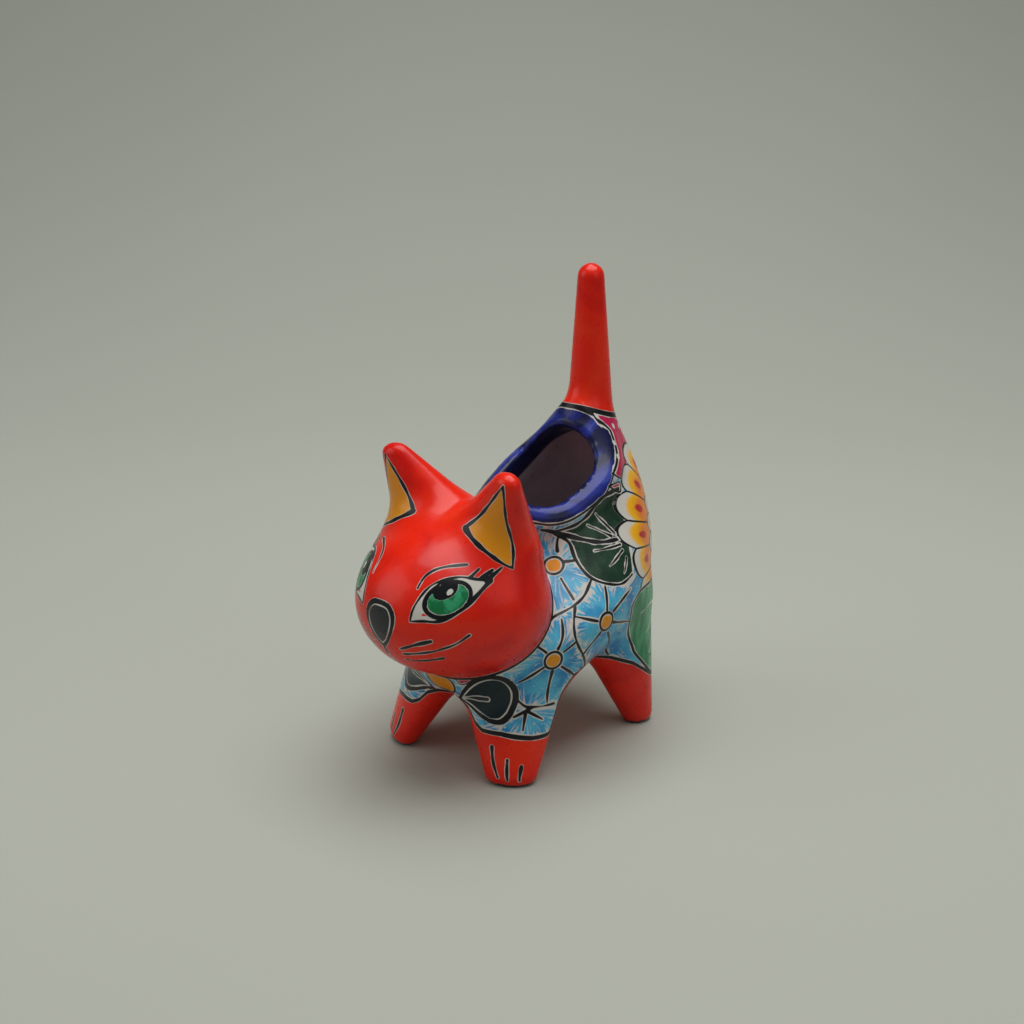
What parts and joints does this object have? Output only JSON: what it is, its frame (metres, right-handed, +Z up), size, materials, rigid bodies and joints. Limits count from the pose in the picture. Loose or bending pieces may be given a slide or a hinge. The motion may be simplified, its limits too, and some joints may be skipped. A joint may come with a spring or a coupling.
{
  "type": "ceramic cat planter",
  "caption": "Hollow glazed ceramic planter shaped as a standing cat with a raised tail, painted with flowers, its mouth along the back.",
  "frame": {"origin": "middle of the bounding box's bottom, on the ground between the four feet", "axes": "+Z up, -Y towards the cat's face, +X towards the cat's own left side"},
  "size_m": [0.0826, 0.1318, 0.17],
  "materials": {
    "glazed_clay": "glossy hand-painted glaze"
  },
  "bodies": {
    "root": {"cat_planter": "glazed_clay"}
  },
  "joints": []
}
